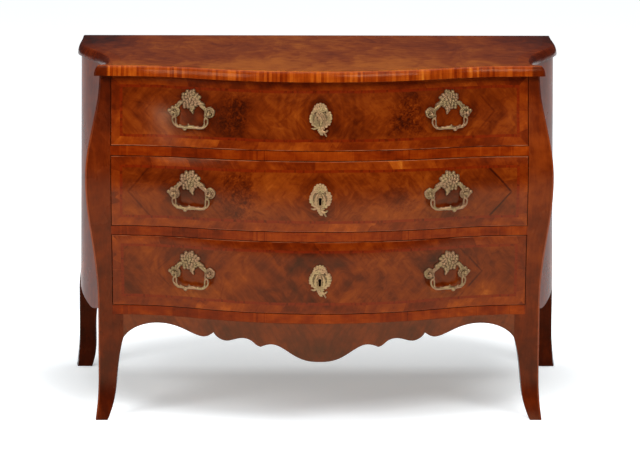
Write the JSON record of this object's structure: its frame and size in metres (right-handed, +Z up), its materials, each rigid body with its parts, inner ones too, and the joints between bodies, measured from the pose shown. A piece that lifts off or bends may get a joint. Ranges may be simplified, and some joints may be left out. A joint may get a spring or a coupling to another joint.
{
  "type": "bombe chest of drawers",
  "caption": "Veneered bombe chest with a serpentine front, swelling corners, shaped top, deep drawers with locks, swinging brass bail handles and short sabre legs.",
  "frame": {"origin": "on the floor, under the middle of the chest's overall width and depth", "axes": "+X to the chest's right as one faces it, the front looks along -Y, +Z up"},
  "size_m": [1.23, 0.7288, 0.85],
  "materials": {
    "walnut_veneer": "polished figured veneer",
    "walnut_crossbanding": "polished cross-grained veneer",
    "walnut_solid": "polished solid wood",
    "inner_softwood": "bare planed pine",
    "gilt_brass": "cast, chased and aged",
    "lock_iron": "forged, oiled iron"
  },
  "bodies": {
    "carcass": {"front_left_leg": "walnut_solid", "front_right_leg": "walnut_solid", "rear_left_leg": "walnut_solid", "rear_right_leg": "walnut_solid", "left_side": "walnut_veneer", "right_side": "walnut_veneer", "top_rail": "walnut_crossbanding", "upper_divider": "walnut_crossbanding", "lower_divider": "walnut_crossbanding", "bottom_rail": "walnut_crossbanding", "front_apron": "walnut_crossbanding", "upper_dust_board": "inner_softwood", "lower_dust_board": "inner_softwood", "bottom_board": "inner_softwood", "back_boards": "inner_softwood", "drawer_guides": "inner_softwood", "drawer_stops": "inner_softwood", "top_board": "walnut_veneer", "top_moulding": "walnut_crossbanding"},
    "drawer_1": {"drawer_1_front": "walnut_veneer", "drawer_1_left_side": "inner_softwood", "drawer_1_right_side": "inner_softwood", "drawer_1_back": "inner_softwood", "drawer_1_bottom": "inner_softwood", "drawer_1_lock_case": "lock_iron", "drawer_1_escutcheon": "gilt_brass", "drawer_1_left_handle_plate": "gilt_brass", "drawer_1_right_handle_plate": "gilt_brass", "drawer_1_handle_posts": "gilt_brass"},
    "lock_bolt_1": {"drawer_1_lock_bolt": "lock_iron"},
    "left_bail_1": {"drawer_1_left_bail": "gilt_brass"},
    "right_bail_1": {"drawer_1_right_bail": "gilt_brass"},
    "drawer_2": {"drawer_2_front": "walnut_veneer", "drawer_2_left_side": "inner_softwood", "drawer_2_right_side": "inner_softwood", "drawer_2_back": "inner_softwood", "drawer_2_bottom": "inner_softwood", "drawer_2_lock_case": "lock_iron", "drawer_2_escutcheon": "gilt_brass", "drawer_2_left_handle_plate": "gilt_brass", "drawer_2_right_handle_plate": "gilt_brass", "drawer_2_handle_posts": "gilt_brass"},
    "lock_bolt_2": {"drawer_2_lock_bolt": "lock_iron"},
    "left_bail_2": {"drawer_2_left_bail": "gilt_brass"},
    "right_bail_2": {"drawer_2_right_bail": "gilt_brass"},
    "drawer_3": {"drawer_3_front": "walnut_veneer", "drawer_3_left_side": "inner_softwood", "drawer_3_right_side": "inner_softwood", "drawer_3_back": "inner_softwood", "drawer_3_bottom": "inner_softwood", "drawer_3_lock_case": "lock_iron", "drawer_3_escutcheon": "gilt_brass", "drawer_3_left_handle_plate": "gilt_brass", "drawer_3_right_handle_plate": "gilt_brass", "drawer_3_handle_posts": "gilt_brass"},
    "lock_bolt_3": {"drawer_3_lock_bolt": "lock_iron"},
    "left_bail_3": {"drawer_3_left_bail": "gilt_brass"},
    "right_bail_3": {"drawer_3_right_bail": "gilt_brass"},
    "keyhole_cover": {"keyhole_cover": "gilt_brass"}
  },
  "joints": [
    {"name": "drawer_1_slide", "type": "slide", "parent": "carcass", "child": "drawer_1", "axis": [0, -1, 0], "range_m": [0, 0.36]},
    {"name": "drawer_2_slide", "type": "slide", "parent": "carcass", "child": "drawer_2", "axis": [0, -1, 0], "range_m": [0, 0.36]},
    {"name": "drawer_3_slide", "type": "slide", "parent": "carcass", "child": "drawer_3", "axis": [0, -1, 0], "range_m": [0, 0.36]},
    {"name": "lock_bolt_1_slide", "type": "slide", "parent": "drawer_1", "child": "lock_bolt_1", "axis": [0, 0, 1], "range_m": [0, 0.009]},
    {"name": "lock_bolt_2_slide", "type": "slide", "parent": "drawer_2", "child": "lock_bolt_2", "axis": [0, 0, 1], "range_m": [0, 0.009]},
    {"name": "lock_bolt_3_slide", "type": "slide", "parent": "drawer_3", "child": "lock_bolt_3", "axis": [0, 0, 1], "range_m": [0, 0.009]},
    {"name": "right_bail_1_swing", "type": "hinge", "parent": "drawer_1", "child": "right_bail_1", "pos_m": [0.30351, -0.30026, 0.7445], "axis": [-0.9162, -0.4007, 0], "range_deg": [-3, 150]},
    {"name": "left_bail_1_swing", "type": "hinge", "parent": "drawer_1", "child": "left_bail_1", "pos_m": [-0.30351, -0.30026, 0.7445], "axis": [-0.9162, 0.4007, 0], "range_deg": [-3, 150]},
    {"name": "right_bail_2_swing", "type": "hinge", "parent": "drawer_2", "child": "right_bail_2", "pos_m": [0.30233, -0.32181, 0.55625], "axis": [-0.9467, -0.322, 0], "range_deg": [-15, 150]},
    {"name": "left_bail_2_swing", "type": "hinge", "parent": "drawer_2", "child": "left_bail_2", "pos_m": [-0.30233, -0.32181, 0.55625], "axis": [-0.9467, 0.322, 0], "range_deg": [-15, 150]},
    {"name": "right_bail_3_swing", "type": "hinge", "parent": "drawer_3", "child": "right_bail_3", "pos_m": [0.30363, -0.29801, 0.36225], "axis": [-0.9127, -0.4087, 0], "range_deg": [-15, 150]},
    {"name": "left_bail_3_swing", "type": "hinge", "parent": "drawer_3", "child": "left_bail_3", "pos_m": [-0.30363, -0.29801, 0.36225], "axis": [-0.9127, 0.4087, 0], "range_deg": [-15, 150]},
    {"name": "keyhole_cover_swing", "type": "hinge", "parent": "drawer_1", "child": "keyhole_cover", "pos_m": [0, -0.35392, 0.75977], "axis": [0, -0.9978, 0.0667], "range_deg": [-95, 95]}
  ]
}
